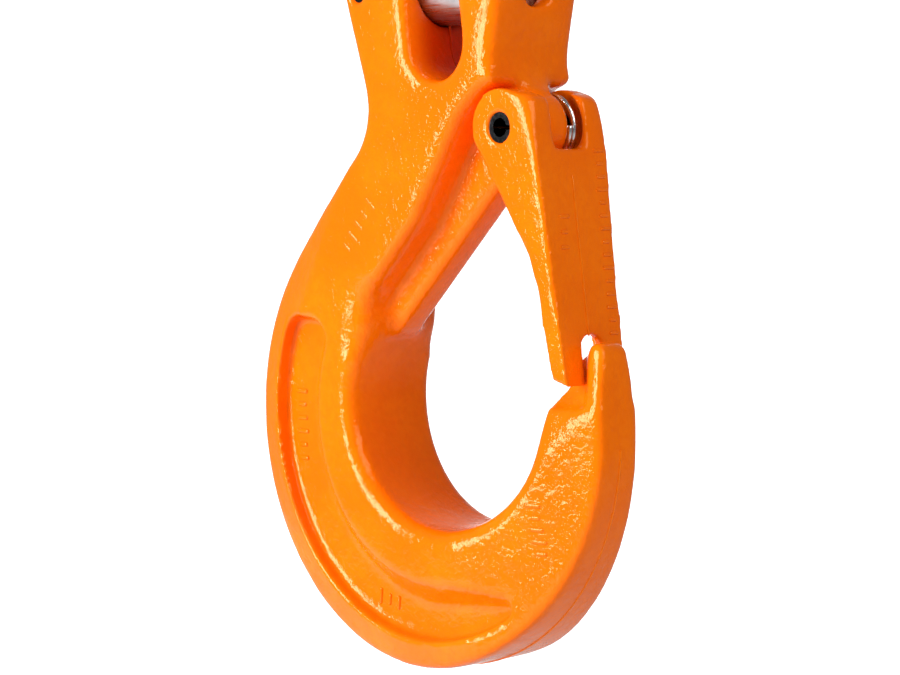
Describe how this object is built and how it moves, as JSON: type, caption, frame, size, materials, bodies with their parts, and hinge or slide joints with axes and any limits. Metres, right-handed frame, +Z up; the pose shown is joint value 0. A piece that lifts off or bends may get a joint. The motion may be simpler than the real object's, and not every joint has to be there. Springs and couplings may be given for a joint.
{
  "type": "clevis sling hook with latch",
  "caption": "Forged clevis sling hook with a sprung folding latch, fin-guarded pivot, side pockets and a removable load pin for chain.",
  "frame": {"origin": "middle of the load pin's axis, where the chain's end link bears", "axes": "+Z up the chain, +X from the neck towards the hook's tip, -Y out of the front face"},
  "size_m": [0.1176, 0.028, 0.1798],
  "materials": {
    "orange_coat": "glossy powder coat over forged steel",
    "bright_steel": "satin ground steel",
    "spring_steel": "drawn wire, bright",
    "black_steel": "black oxide, satin"
  },
  "bodies": {
    "forging": {"hook_body": "orange_coat", "load_pin": "bright_steel", "lock_pin": "black_steel", "latch_spring": "spring_steel"},
    "latch": {"latch": "orange_coat", "latch_pin": "black_steel"}
  },
  "joints": [
    {"name": "latch_hinge", "type": "hinge", "parent": "forging", "child": "latch", "pos_m": [0.0216, 0, -0.0327], "axis": [0, 1, 0], "range_deg": [0, 54], "stiffness_Nm_per_rad": 0.08, "springref_deg": -57.3, "deforming": ["latch_spring"]}
  ]
}
